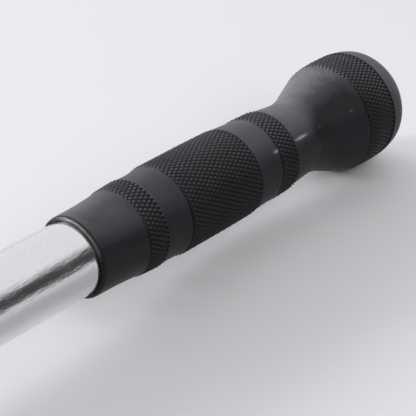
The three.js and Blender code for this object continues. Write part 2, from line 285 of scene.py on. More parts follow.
def bevelled(mesh, width, angle=35):
    piece = linked("work", mesh)
    modifier = piece.modifiers.new("bevel", "BEVEL")
    modifier.width = width
    modifier.segments = 3
    modifier.limit_method = "ANGLE"
    modifier.angle_limit = math.radians(angle)
    bake_modifiers(piece)
    result = piece.data
    bpy.data.objects.remove(piece)
    return result


def subdivided(mesh, levels):
    piece = linked("work", mesh)
    piece.modifiers.new("subdivision", "SUBSURF").levels = levels
    bake_modifiers(piece)
    result = piece.data
    bpy.data.objects.remove(piece)
    return result


def even_angles(count):
    return [2 * math.pi * i / count for i in range(count)]


def ring(bm, along, angles, radius):
    """A ring of vertices round Z. radius is a number or a function of the angle; 0 makes one vertex."""
    if radius == 0:
        return [(0.0, bm.verts.new((0, 0, along)))]
    made = []
    for angle in angles:
        r = radius(angle) if callable(radius) else radius
        made.append((angle, bm.verts.new((r * math.cos(angle), r * math.sin(angle), along))))
    return made


def join_rings(bm, a, b):
    """Faces between two rings, each a list of (angle, vertex) in rising angle. Their counts may differ."""
    if len(a) == 1 or len(b) == 1:
        pole, rim = (a[0][1], b) if len(a) == 1 else (b[0][1], a)
        for i in range(len(rim)):
            bm.faces.new((pole, rim[i][1], rim[(i + 1) % len(rim)][1]))
        return
    if len(a) == len(b):
        for i in range(len(a)):
            j = (i + 1) % len(a)
            bm.faces.new((a[i][1], a[j][1], b[j][1], b[i][1]))
        return
    i = j = 0
    while i < len(a) or j < len(b):
        next_a = a[i + 1][0] if i + 1 < len(a) else a[0][0] + 2 * math.pi
        next_b = b[j + 1][0] if j + 1 < len(b) else b[0][0] + 2 * math.pi
        here_a, here_b = a[i % len(a)][1], b[j % len(b)][1]
        if j >= len(b) or (i < len(a) and next_a <= next_b):
            i += 1
            bm.faces.new((here_a, a[i % len(a)][1], here_b))
        else:
            j += 1
            bm.faces.new((here_a, b[j % len(b)][1], here_b))


def join_all(bm, rings, closed=False):
    for a, b in zip(rings, rings[1:]):
        join_rings(bm, a, b)
    if closed:
        join_rings(bm, rings[-1], rings[0])


def softened(outline, size, closed, steps=3):
    """The outline with each corner rounded, starting a given length before it."""
    if size == 0:
        return outline
    count = len(outline)
    made = []
    for i, here in enumerate(outline):
        if not closed and i in (0, count - 1):
            made.append(here)
            continue
        corner = Vector(here)
        before = Vector(outline[i - 1]) - corner
        after = Vector(outline[(i + 1) % count]) - corner
        cut = min(size, before.length * 0.45, after.length * 0.45)
        start = corner + before.normalized() * cut
        end = corner + after.normalized() * cut
        for k in range(steps + 1):
            t = k / steps
            made.append(tuple(start * (1 - t) ** 2 + corner * 2 * t * (1 - t) + end * t * t))
    return made


def turned(name, outline, closed=False, soft=0.25, count=128):
    """A piece turned about Z from (along, radius) pairs, its corners rounded. closed=True has a bore."""
    bm = bmesh.new()
    angles = even_angles(count)
    rings = [ring(bm, along, angles, radius) for along, radius in softened(outline, soft, closed)]
    join_all(bm, rings, closed)
    return mesh_from(name, bm)


def washer(name, from_to, inner, outer, soft=0.25):
    start, end = from_to
    outline = [(start, inner), (start, outer), (end, outer), (end, inner)]
    return turned(name, outline, closed=True, soft=soft)


def prism(points, depth):
    """A flat outline of 3-D points given depth."""
    bm = bmesh.new()
    front = [bm.verts.new(p) for p in points]
    back = [bm.verts.new(Vector(p) + depth) for p in points]
    bm.faces.new(front)
    bm.faces.new(list(reversed(back)))
    for i in range(len(points)):
        j = (i + 1) % len(points)
        bm.faces.new((front[i], back[i], back[j], front[j]))
    return mesh_from("prism", bm)


def rod(start, end, radius):
    return turned("rod", [(start, 0), (start, radius), (end, radius), (end, 0)], soft=0, count=96)


def arc(centre_x, centre_y, radius, start, end, steps):
    """Points of an arc, its angles in degrees."""
    angles = [math.radians(start + (end - start) * i / steps) for i in range(steps + 1)]
    return [(centre_x + radius * math.cos(a), centre_y + radius * math.sin(a)) for a in angles]


def thread_radius(along, pitch, radius, run_out):
    """A thread's radius as a function of the angle. run_out is 1 where the thread is whole."""
    depth = 0.6 * pitch * run_out

    def at(angle):
        phase = (along / pitch - angle / (2 * math.pi)) % 1
        return radius - depth * min(1, max(0, 1.3 * abs(2 * phase - 1) - 0.12))
    return at


def threaded_rings(bm, start, end, pitch, radius, angles, per_turn=8):
    rows = round((end - start) / pitch * per_turn)
    made = []
    for row in range(rows + 1):
        along = start + (end - start) * row / rows
        run_out = min(1, (along - start) / pitch, (end - along) / pitch)
        made.append(ring(bm, along, angles, thread_radius(along, pitch, radius, run_out)))
    return made


def smooth_through(points, step):
    """Points of a curve through (along, radius) pairs, monotone between them, at most a step apart."""
    slopes = [(b[1] - a[1]) / (b[0] - a[0]) for a, b in zip(points, points[1:])]
    tangents = [slopes[0]]
    for left, right in zip(slopes, slopes[1:]):
        tangents.append(0 if left * right <= 0 else 2 * left * right / (left + right))
    tangents.append(slopes[-1])
    made = []
    for (a, b), m0, m1 in zip(zip(points, points[1:]), tangents, tangents[1:]):
        width = b[0] - a[0]
        pieces = max(1, math.ceil(width / step))
        for k in range(pieces):
            t = k / pieces
            h00 = (1 + 2 * t) * (1 - t) ** 2
            h10 = t * (1 - t) ** 2
            h01 = t * t * (3 - 2 * t)
            h11 = t * t * (t - 1)
            made.append((a[0] + t * width, h00 * a[1] + h10 * width * m0 + h01 * b[1] + h11 * width * m1))
    made.append(points[-1])
    return made


def value_at(curve, along):
    """The value at a place along a list of (along, value) pairs."""
    for a, b in zip(curve, curve[1:]):
        if along <= b[0]:
            return a[1] + (b[1] - a[1]) * (along - a[0]) / (b[0] - a[0])
    return curve[-1][1]


def half_turned(mesh):
    """The same mesh turned half round about the upright through the middle of the bar."""
    other = mesh.copy()
    half_turn = Matrix.Rotation(math.pi, 4, "Z")
    other.transform(Matrix.Translation(AXIS) @ half_turn @ Matrix.Translation(-AXIS))
    return other


# ---------------------------------------------------------------- the grip

def angle_between(a, b):
    return abs((a - b + math.pi) % (2 * math.pi) - math.pi)


def to_parting_line(angle):
    return min(angle_between(angle, line) for line in PARTING_ANGLES)


def grip_angles():
    """The angles of the plain rings: even, with closer ones that carry the two parting lines."""
    typical_radius = 15
    kept = [a for a in even_angles(200) if to_parting_line(a) * typical_radius > 2.2 * PARTING_WIDTH]
    for line in PARTING_ANGLES:
        for step in (-2, -1.3, -0.8, -0.4, 0, 0.4, 0.8, 1.3, 2):
            kept.append((line + step * PARTING_WIDTH / typical_radius) % (2 * math.pi))
    return sorted(kept)


def creased(points):
    """A plain stretch, ending in a narrow crease at the foot of the raised band that follows it."""
    along, radius = points[-1]
    return points[:-1] + [(along - CREASE_WIDTH, radius), (along, radius - CREASE_DEPTH)]


def with_parting_lines(radius, height):
    """A plain radius with the fine ridge that the halves of the mould leave."""
    def at(angle):
        gap = to_parting_line(angle) * radius / PARTING_WIDTH
        return radius + height * math.exp(-2 * gap * gap)
    return at


def knurl_height(turn, cell):
    """0 in a groove and 1 on top of a diamond. turn and cell count diamonds round and along."""
    a = turn + cell
    b = turn - cell
    nearest = min(1 - 2 * abs(a - round(a)), 1 - 2 * abs(b - round(b)))
    return min(1, max(0, (nearest - KNURL_GROOVE) / (1 - KNURL_GROOVE - KNURL_TOP)))


def knurled_rings(bm, points, diamonds, shade):
    """The rings of one knurled band. shade takes each vertex's height in its diamond."""
    curve = smooth_through(points, 0.5)
    start, end = points[0][0], points[-1][0]
    rows = round((end - start) / (KNURL_LENGTH / KNURL_SAMPLES))
    angles = even_angles(diamonds * KNURL_SAMPLES)
    made = []
    for row in range(rows + 1):
        along = start + (end - start) * row / rows
        top = value_at(curve, along)
        heights = [knurl_height(i / KNURL_SAMPLES, row / KNURL_SAMPLES) for i in range(len(angles))]
        radii = {angle: top - KNURL_DEPTH * (1 - height) for angle, height in zip(angles, heights)}
        made.append(ring(bm, along, angles, radii.get))
        for (angle, vertex), height in zip(made[-1], heights):
            vertex[shade] = height
    return made


def rub_and_glint_at(along):
    """How much rubbing and painted glint the parting line carries: most in the middle of each mark."""
    found = [RUB_AND_GLINT_ELSEWHERE]
    for start, end, strength in RUB_AND_GLINT_MARKS:
        if start < along < end:
            found.append(strength * math.sin(math.pi * (along - start) / (end - start)))
    return max(found)


def dust_and_sheen_at(along, angle):
    """How much dusting and painted sheen lies at a place: most along the top, none below."""
    facing = -math.cos(angle - math.radians(value_at(DUST_AND_SHEEN_LEAN, along)))
    return value_at(DUST_AND_SHEEN, along) * max(0, (facing - 0.3) / 0.7) ** 1.5


def grip_mesh():
    """The whole moulding: blind bore, rounded lip, plain stretches, knurled bands and domed end."""
    bm = bmesh.new()
    shade = bm.verts.layers.float.new("diamond")
    rub_and_glint = bm.verts.layers.float.new("rub_and_glint")
    dust_and_sheen = bm.verts.layers.float.new("dust_and_sheen")
    scuff = bm.verts.layers.float.new("scuff")
    plain = grip_angles()
    bore = TUBE_RADIUS + GRIP_GAP
    inside = [(BORE_END, 0), (BORE_END, bore)]
    inside += [(along, bore + wider) for along, wider in BORE_LIP]
    rings = [ring(bm, along, plain, radius) for along, radius in inside + LIP]
    # painted highlight along the lip's upper rim
    for made, strength in zip(rings[len(inside) - 1:], LIP_GLINT):
        for angle, vertex in made:
            vertex[rub_and_glint] = strength * max(0, math.cos(angle - LIP_GLINT_ANGLE) - 0.5) / 0.5

    def add_plain(points, step=1.2):
        for along, radius in smooth_through(points, step):
            weight = rub_and_glint_at(along)
            held = min(radius, BALL_RADIUS - PARTING_HEIGHT)
            made = ring(bm, along, plain, with_parting_lines(held, PARTING_HEIGHT * weight))
            rings.append(made)
            for angle, vertex in made:
                gap = to_parting_line(angle) * radius / RUB_AND_GLINT_WIDTH
                aside = angle_between(angle, SCUFF_PLACE[1]) * radius
                rest = math.hypot(along - SCUFF_PLACE[0], aside)
                vertex[rub_and_glint] = weight * math.exp(-2 * gap * gap)
                vertex[scuff] = math.exp(-((rest / SCUFF_RADIUS) ** 2))
                vertex[shade] = PLAIN_HEIGHT
                vertex[dust_and_sheen] = dust_and_sheen_at(along, angle)

    def add_band(points, diamonds):
        held = [(along, min(radius, BALL_RADIUS)) for along, radius in points]
        for made in knurled_rings(bm, held, diamonds, shade):
            rings.append(made)
            for angle, vertex in made:
                along = vertex.co.z
                # dusting and painted sheen, stronger on the diamonds' tops
                dust_and_sheen_gain = DUST_AND_SHEEN_ON_EDGE_ROW if along - points[0][0] < EDGE_ROW else DUST_AND_SHEEN_ON_DIAMONDS
                vertex[dust_and_sheen] = min(MOST_DUST_AND_SHEEN, dust_and_sheen_at(along, angle) * vertex[shade] ** 2 * dust_and_sheen_gain)

    add_plain(MOUTH_CONE)
    add_band(FIRST_BAND, BAND_DIAMONDS)
    add_plain(creased(WAIST))
    add_band(HAND_SECTION, HAND_DIAMONDS)
    add_plain(creased(TAPER), 0.6)
    add_band(THIRD_BAND, BAND_DIAMONDS)
    add_plain(NECK, 0.6)
    add_plain(creased(BELL), 0.6)
    add_band(BALL_BAND, BALL_DIAMONDS)
    add_plain(DOME, 0.6)
    rings.append(ring(bm, TIP - TIP_RISE, plain, TIP_RADIUS))
    rings.append(ring(bm, TIP, plain, 0))
    join_all(bm, rings)
    bmesh.ops.remove_doubles(bm, verts=bm.verts, dist=MERGE_DISTANCE)
    return mesh_from("grip", bm, BAR_FRAME @ ALONG_BAR @ Matrix.Translation((0, 0, GRIP_MOUTH)))


# ---------------------------------------------------------------- the hanger

def socket_radius(across_flats):
    """The radius of a hexagon as a function of the angle."""
    def at(angle):
        return across_flats / 2 / math.cos((angle + math.pi / 6) % (math.pi / 3) - math.pi / 6)
    return at


def bush_mesh():
    start, end = reach("right_bush", SIDE)
    outer = radius_of("right_bush", SIDE)
    bore = TUBE_RADIUS + RUNNING_GAP
    flange = end - BUSH_FLANGE
    outline = [
        (start, bore), (start, BUSH_SLEEVE_RADIUS), (flange, BUSH_SLEEVE_RADIUS), (flange, outer),
        (end, outer), (end, bore),
    ]
    return turned("bush", outline, closed=True)


def collar_mesh():
    start, end = reach("right_stop_collar", SIDE)
    bore = TUBE_RADIUS + FIXED_GAP
    outer = radius_of("right_stop_collar", SIDE)
    mesh = washer("collar", (start, end), bore, outer, soft=1.4)
    mesh.transform(ALONG_BAR)
    holes = []
    for angle in SCREW_ANGLES.values():
        hole = SCREW_RADIUS + RUNNING_GAP
        mouth = outer - 0.7
        outline = [(bore - 3, 0), (bore - 3, hole), (mouth, hole), (outer + 1, hole + 1.7), (outer + 1, 0)]
        cutter = turned("hole", outline, soft=0, count=64)
        cutter.transform(Matrix.Translation(((start + end) / 2, 0, 0)) @ Matrix.Rotation(angle, 4, "X"))
        holes.append(cutter)
    return combined(mesh, "DIFFERENCE", *holes)


def set_screw_mesh(side, angle):
    """A headless screw: threaded, chamfered, with a six-sided socket in its outer end."""
    start, end = reach("right_stop_collar", SIDE)
    node = "right_collar_screw_" + side
    inward = Matrix.Rotation(angle, 3, "X") @ UP
    foot, top = reach(node, inward)
    bm = bmesh.new()
    angles = even_angles(72)
    bottom = top - SCREW_SOCKET
    rings = [
        ring(bm, bottom - 0.6, angles, 0),
        ring(bm, bottom, angles, socket_radius(SCREW_SOCKET)),
        ring(bm, top - 0.3, angles, socket_radius(SCREW_SOCKET)),
        ring(bm, top, angles, SCREW_SOCKET / 2 + 0.35),
        ring(bm, top, angles, SCREW_RADIUS - 0.6),
        ring(bm, top - 0.4, angles, SCREW_RADIUS - 0.2),
    ]
    rings += list(reversed(threaded_rings(bm, foot + 0.8, top - 0.45, SCREW_PITCH, SCREW_RADIUS, angles)))
    rings.append(ring(bm, foot, angles, SCREW_RADIUS - 0.9))
    rings.append(ring(bm, foot + 0.5, angles, 0))
    join_all(bm, rings)
    place = Matrix.Translation(((start + end) / 2, 0, 0)) @ Matrix.Rotation(angle, 4, "X")
    return mesh_from("set_screw", bm, BAR_FRAME @ place)


def plug_mesh():
    start, end = reach("right_tube_plug", SIDE)
    barrel = TUBE_RADIUS - TUBE_WALL - FIXED_GAP
    inner = barrel - 2
    head = TUBE_RADIUS - FIXED_GAP
    under = end - 2
    outline = [
        (under, 0), (under, inner), (start, inner), (start, barrel), (under, barrel), (under, head),
        (end, head), (end, 0),
    ]
    return turned("plug", outline, soft=0.4)


def stirrup_mesh():
    """A flat strap bent to a U, its round eyes on the bar's axis, its narrower web holed for the eye."""
    outer = reach("stirrup", SIDE)[1]
    foot, far = reach("stirrup", HANG)
    inner, near = outer - STRAP_THICKNESS, far - STRAP_THICKNESS
    bend = STRAP_BEND + STRAP_THICKNESS
    end_radius = -foot
    side = [(outer, foot - 1)]
    side += arc(outer - bend, far - bend, bend, 0, 90, 16)
    side += arc(-outer + bend, far - bend, bend, 90, 180, 16)
    side += [(-outer, foot - 1), (-inner, foot - 1)]
    side += arc(-inner + STRAP_BEND, near - STRAP_BEND, STRAP_BEND, 180, 90, 12)
    side += arc(inner - STRAP_BEND, near - STRAP_BEND, STRAP_BEND, 90, 0, 12)
    side += [(inner, foot - 1)]
    strap = prism([(x, -end_radius - 2, z) for x, z in side], Vector((0, 2 * end_radius + 4, 0)))
    top = far + 1
    slant = math.atan2(top, WEB_HALF_DEPTH) - math.acos(end_radius / math.hypot(top, WEB_HALF_DEPTH))
    degrees = math.degrees(slant)
    taper = [(WEB_HALF_DEPTH, top), (-WEB_HALF_DEPTH, top)]
    taper += arc(0, 0, end_radius, 180 - degrees, 360 + degrees, 64)
    reach_x = outer + 2
    kept = prism([(-reach_x, y, z) for y, z in taper], Vector((2 * reach_x, 0, 0)))
    strap = combined(strap, "INTERSECT", kept)
    bush_hole = rod(-reach_x, reach_x, BUSH_SLEEVE_RADIUS + FIXED_GAP)
    bush_hole.transform(ALONG_BAR)
    shank_hole = rod(near - 3, far + 3, SHANK_RADIUS + FIXED_GAP)
    return bevelled(combined(strap, "DIFFERENCE", bush_hole, shank_hole), 0.7)


def eye_ring_cage():
    """The cage of the eye: a ring with flat cheeks, drawn out at its foot to a round shoulder."""
    half = EYE_HALF_THICKNESS
    hole, rim = EYE_HOLE_RADIUS, radius_of_eye()
    one_side = [
        (hole, 1.8), (hole + 0.5, half - 1.2), (14.2, half), (15.0, half), (19.0, half), (19.8, half),
        (rim - 0.6, half - 1.1), (rim, 1.8),
    ]
    profile = one_side + [(r, -y) for r, y in reversed(one_side)]
    shrink = (2 + math.cos(2 * math.pi / EYE_STEPS)) / 3
    bm = bmesh.new()
    grid = []
    for i in range(EYE_STEPS):
        a = 2 * math.pi * (i + 0.5) / EYE_STEPS
        points = [(r / shrink * math.sin(a), y, EYE_CENTRE - r / shrink * math.cos(a)) for r, y in profile]
        grid.append([bm.verts.new(p) for p in points])
    neck_steps, neck_sides = (-2, -1, 0), (6, 7, 8)
    for i in range(EYE_STEPS):
        for j in range(len(profile)):
            if (i - EYE_STEPS if i > 1 else i) in neck_steps and j in neck_sides:
                continue
            after = (i + 1) % EYE_STEPS
            beside = (j + 1) % len(profile)
            bm.faces.new((grid[i][j], grid[i][beside], grid[after][beside], grid[after][j]))
    loop = [grid[i][6] for i in (-2, -1, 0, 1)] + [grid[1][7], grid[1][8]]
    loop += [grid[i][9] for i in (1, 0, -1, -2)] + [grid[-2][8], grid[-2][7]]
    neck = [
        (8.2, SHOULDER_TO + 1.6), (8.9, SHOULDER_TO + 0.4),
        (SHOULDER_RADIUS - 0.5, SHOULDER_TO), (SHOULDER_RADIUS, SHOULDER_TO - 0.5),
        (SHOULDER_RADIUS, SHOULDER_FROM + 0.5), (SHOULDER_RADIUS - 0.5, SHOULDER_FROM),
        (7.5, SHOULDER_FROM),
    ]
    shrink = (2 + math.cos(2 * math.pi / NECK_STEPS)) / 3
    for radius, along in neck:
        turns = [math.radians(135) - 2 * math.pi * k / NECK_STEPS for k in range(NECK_STEPS)]
        r = radius / shrink
        after = [bm.verts.new((r * math.cos(t), r * math.sin(t), along)) for t in turns]
        for k in range(NECK_STEPS):
            m = (k + 1) % NECK_STEPS
            bm.faces.new((loop[k], loop[m], after[m], after[k]))
        loop = after
    bm.faces.new(loop)
    return mesh_from("eye", bm)


def radius_of_eye():
    """The eye's radius: the CAD ring has flat sides, and the middle of one faces along the bar."""
    return reach("swivel_eye", SIDE)[1] / math.cos(math.pi / CAD_EYE_SIDES)


def eye_mesh():
    start = reach("swivel_eye", HANG)[0]
    bm = bmesh.new()
    angles = even_angles(72)
    rings = [ring(bm, start, angles, 0), ring(bm, start, angles, SHANK_RADIUS - 1.2)]
    rings += threaded_rings(bm, start + 0.8, THREAD_TO, SHANK_PITCH, SHANK_RADIUS, angles)
    rings += [ring(bm, SHANK_TO, angles, SHANK_RADIUS), ring(bm, SHANK_TO, angles, 0)]
    join_all(bm, rings)
    return combined(subdivided(eye_ring_cage(), 3), "UNION", mesh_from("shank", bm))


def lock_nut_mesh():
    """A hexagon chamfered at both ends, with the crown that holds the nylon ring."""
    start, end = reach("lock_nut", HANG)
    crown_to = start + NUT_CROWN_HEIGHT
    bore = SHANK_RADIUS + FIXED_GAP
    pocket = reach("lock_nut_ring", HANG)
    pocket_radius = radius_of("lock_nut_ring", HANG) + FIXED_GAP
    corner = NUT_FLATS / 2 / math.cos(math.pi / 6)
    flats = socket_radius(NUT_FLATS)

    def chamfered(along):
        in_from_end = min(along - crown_to, end - along)
        cone = NUT_FLATS / 2 + in_from_end * 2.4
        return lambda angle: min(flats(angle), cone, corner - 0.15)

    bm = bmesh.new()
    angles = even_angles(144)
    rings = []
    steps = 40
    for k in range(steps + 1):
        t = (1 - math.cos(math.pi * k / steps)) / 2
        along = crown_to + (end - crown_to) * t
        rings.append(ring(bm, along, angles, chamfered(along)))
    rings += [
        ring(bm, end, angles, bore + 0.9), ring(bm, end - 0.9, angles, bore),
        ring(bm, pocket[1] + 0.1, angles, bore), ring(bm, pocket[1] + 0.1, angles, pocket_radius),
        ring(bm, pocket[0] - 0.1, angles, pocket_radius),
        ring(bm, start + 0.15, angles, pocket_radius - 0.6),
        ring(bm, start, angles, pocket_radius - 0.35), ring(bm, start, angles, NUT_CROWN_RADIUS - 0.7),
        ring(bm, start + 0.2, angles, NUT_CROWN_RADIUS - 0.25),
        ring(bm, start + 0.7, angles, NUT_CROWN_RADIUS), ring(bm, crown_to - 0.3, angles, NUT_CROWN_RADIUS),
    ]
    join_all(bm, rings, closed=True)
    return mesh_from("lock_nut", bm)


# ---------------------------------------------------------------- materials

def new_material(name):
    material = bpy.data.materials.new(name)
    material.use_nodes = True
    nodes = material.node_tree.nodes
    return material, nodes, material.node_tree.links, nodes["Principled BSDF"]


def noise(nodes, links, vector, scale, detail=4, roughness=0.5, distortion=0):
    made = nodes.new("ShaderNodeTexNoise")
    made.inputs["Distortion"].default_value = distortion
    made.inputs["Scale"].default_value = scale
    made.inputs["Detail"].default_value = detail
    made.inputs["Roughness"].default_value = roughness
    links.new(vector, made.inputs["Vector"])
    return made.outputs["Fac"]


def stretched(nodes, links, vector, scale):
    made = nodes.new("ShaderNodeMapping")
    made.inputs["Scale"].default_value = scale
    links.new(vector, made.inputs["Vector"])
    return made.outputs["Vector"]


def ranged(nodes, links, value, from_min, from_max, to_min, to_max):
    made = nodes.new("ShaderNodeMapRange")
    made.inputs["From Min"].default_value = from_min
    made.inputs["From Max"].default_value = from_max
    made.inputs["To Min"].default_value = to_min
    made.inputs["To Max"].default_value = to_max
    links.new(value, made.inputs["Value"])
    return made.outputs["Result"]


def maths(nodes, links, operation, a, b):
    made = nodes.new("ShaderNodeMath")
    made.operation = operation
    for socket, value in zip(made.inputs, (a, b)):
        if isinstance(value, (int, float)):
            socket.default_value = value
        else:
            links.new(value, socket)
    return made.outputs["Value"]


def mixed(nodes, links, factor, a, b):
    """A mix of two colours. Each is a colour or another node's output."""
    made = nodes.new("ShaderNodeMix")
    made.data_type = "RGBA"
    links.new(factor, made.inputs["Factor"])
    for socket, value in ((made.inputs[6], a), (made.inputs[7], b)):
        if isinstance(value, tuple):
            socket.default_value = (*value, 1)
        else:
            links.new(value, socket)
    return made.outputs[2]


def bumped(nodes, links, height, distance, normal=None):
    made = nodes.new("ShaderNodeBump")
    made.inputs["Strength"].default_value = 1
    made.inputs["Distance"].default_value = distance
    links.new(height, made.inputs["Height"])
    if normal:
        links.new(normal, made.inputs["Normal"])
    return made.outputs["Normal"]


def attribute(nodes, name):
    made = nodes.new("ShaderNodeAttribute")
    made.attribute_name = name
    return made.outputs["Fac"]


def object_place(nodes):
    return nodes.new("ShaderNodeTexCoord").outputs["Object"]


def rubber_material():
    """Moulded rubber: bloom, dusting with a painted sheen along the top, scuffs on the bell, a parting line
    with rubbing and a painted glint, diamond tops paled by wearing and a painted highlight, and painted
    shade in the grooves.
    """
    material, nodes, links, shader = new_material("moulded_rubber")
    shader.inputs["Specular IOR Level"].default_value = RUBBER_SHINE
    diamond = attribute(nodes, "diamond")
    place = object_place(nodes)
    cloud = noise(nodes, links, place, 45, 5, 0.6)
    bloom = ranged(nodes, links, cloud, 0.4, 0.7, 0, 1)
    colour = mixed(nodes, links, bloom, RUBBER_DARK, RUBBER_BLOOM)
    uneven = ranged(nodes, links, cloud, 0.35, 0.65, 0.6, 1.3)
    # dusting, and a painted sheen on the upper side
    dust_and_sheen = maths(nodes, links, "MULTIPLY", attribute(nodes, "dust_and_sheen"), uneven)
    colour = mixed(nodes, links, dust_and_sheen, colour, RUBBER_DUST_AND_SHEEN)
    # diamond tops paled by wearing, with a painted highlight on them
    wear_and_highlight = ranged(nodes, links, diamond, 0.75, 1, 0, 0.5)
    colour = mixed(nodes, links, wear_and_highlight, colour, RUBBER_WORN_AND_LIT_TOP)
    # painted shade darkening the grooves between the diamonds
    depth = ranged(nodes, links, diamond, 0.5, 0.1, 0, 1)
    colour = mixed(nodes, links, depth, colour, RUBBER_GROOVE_SHADE)
    swirl = noise(nodes, links, place, 170, 2, 0.5, 2.5)
    swirl = maths(nodes, links, "ABSOLUTE", maths(nodes, links, "SUBTRACT", swirl, 0.5), 0)
    swirls = ranged(nodes, links, swirl, 0.05, 0.01, 0, 1)
    broken = ranged(nodes, links, noise(nodes, links, place, 330, 2), 0.47, 0.6, 0, 1)
    scuffed = maths(nodes, links, "MULTIPLY", swirls, broken)
    scuffed = maths(nodes, links, "MULTIPLY", scuffed, attribute(nodes, "scuff"))
    colour = mixed(nodes, links, maths(nodes, links, "MULTIPLY", scuffed, 0.8), colour, RUBBER_SCUFF)
    patches = ranged(nodes, links, noise(nodes, links, place, 400, 3), 0.3, 0.5, 0.3, 1)
    # rubbing on the parting line, and a painted glint on it and on the lip's rim
    rubbed_glint = maths(nodes, links, "MULTIPLY", patches, attribute(nodes, "rub_and_glint"))
    colour = mixed(nodes, links, rubbed_glint, colour, RUBBER_RUBBED_GLINT)
    links.new(colour, shader.inputs["Base Color"])
    rough = ranged(nodes, links, cloud, 0.3, 0.7, *RUBBER_ROUGH)
    rough = maths(nodes, links, "SUBTRACT", rough, maths(nodes, links, "MULTIPLY", rubbed_glint, 0.15))
    links.new(rough, shader.inputs["Roughness"])
    fine = noise(nodes, links, place, 2600, 3)
    normal = bumped(nodes, links, fine, 0.00002)
    normal = bumped(nodes, links, scuffed, 0.00012, normal)
    links.new(normal, shader.inputs["Normal"])
    return material


def metal_material(name, colour, dust_and_sheen_gain, roughness, grain, stretch, relief):
    """Metal with a grain: fine ripples and roughness along one way, and faint clouds of a second colour."""
    material, nodes, links, shader = new_material(name)
    shader.inputs["Metallic"].default_value = 1
    place = object_place(nodes)
    cloud = noise(nodes, links, place, 70, 5, 0.65)
    stain = ranged(nodes, links, cloud, 0.52, 0.8, 0, 1)
    links.new(mixed(nodes, links, stain, colour, dust_and_sheen_gain), shader.inputs["Base Color"])
    ripple = noise(nodes, links, stretched(nodes, links, place, stretch), grain, 4, 0.55)
    low, high = roughness
    rough = ranged(nodes, links, ripple, 0.3, 0.75, low, high)
    links.new(rough, shader.inputs["Roughness"])
    links.new(bumped(nodes, links, ripple, relief), shader.inputs["Normal"])
    return material


def tube_material():
    """Bright plating on drawn tube: long shallow waves, small pits, fine draw lines and dull specks."""
    material, nodes, links, shader = new_material("tube_plating")
    shader.inputs["Metallic"].default_value = 1
    place = object_place(nodes)
    waves = noise(nodes, links, stretched(nodes, links, place, (0.22, 1, 1)), 700, 3, 0.6)
    lines = noise(nodes, links, stretched(nodes, links, place, (0.04, 1, 1)), 2600, 2, 0.5)
    specks = ranged(nodes, links, noise(nodes, links, place, 1500, 3, 0.7), 0.6, 0.72, 0, 1)
    colour = mixed(nodes, links, specks, (0.71, 0.71, 0.715), (0.5, 0.505, 0.52))
    links.new(colour, shader.inputs["Base Color"])
    rough = ranged(nodes, links, waves, 0.3, 0.7, 0.06, 0.2)
    dull = maths(nodes, links, "MULTIPLY", specks, 0.2)
    links.new(maths(nodes, links, "ADD", rough, dull), shader.inputs["Roughness"])
    normal = bumped(nodes, links, waves, 0.0001)
    pits = noise(nodes, links, stretched(nodes, links, place, (0.5, 1, 1)), 1500, 2, 0.6)
    normal = bumped(nodes, links, pits, 0.00003, normal)
    links.new(bumped(nodes, links, lines, 0.000006, normal), shader.inputs["Normal"])
    return material


def plastic_material(name, colour, aged, roughness, relief):
    """Moulded plastic: faint colour clouds and a fine moulded grain."""
    material, nodes, links, shader = new_material(name)
    place = object_place(nodes)
    cloud = ranged(nodes, links, noise(nodes, links, place, 90, 4, 0.6), 0.45, 0.75, 0, 1)
    links.new(mixed(nodes, links, cloud, colour, aged), shader.inputs["Base Color"])
    grain = noise(nodes, links, place, 3200, 3)
    low, high = roughness
    links.new(ranged(nodes, links, grain, 0.3, 0.7, low, high), shader.inputs["Roughness"])
    links.new(bumped(nodes, links, grain, relief), shader.inputs["Normal"])
    return material


def floor_material():
    material, _, _, shader = new_material("floor")
    shader.inputs["Base Color"].default_value = FLOOR_COLOUR
    shader.inputs["Roughness"].default_value = 0.6
    shader.inputs["Specular IOR Level"].default_value = 0.2
    return material


# ---------------------------------------------------------------- pieces

def finish_piece(name, mesh, material, body, slot, *nodes, sharp_angle=40):
    mesh.shade_smooth()
    mesh.set_sharp_from_angle(angle=math.radians(sharp_angle))
    mesh.materials.clear()
    mesh.materials.append(material)
    piece = linked(name, mesh)
    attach(piece, body)
    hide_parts(*nodes)


def pair(name, mesh, material, body, slot, node, left_node=None, sharp_angle=40):
    """A right-hand piece and its twin. node is the CAD node's name without its side."""
    twin = half_turned(mesh)
    left_node = left_node or node
    finish_piece("right_" + name, mesh, material, body, slot, "right_" + node, sharp_angle=sharp_angle)
    finish_piece("left_" + name, twin, material, body, slot, "left_" + left_node, sharp_angle=sharp_angle)


def on_bar(mesh):
    """Moves a mesh turned about Z in millimetres to its place on the bar."""
    mesh.transform(BAR_FRAME @ ALONG_BAR)
    return mesh


def on_hanger(mesh):
    mesh.transform(HANG_FRAME)
    return mesh


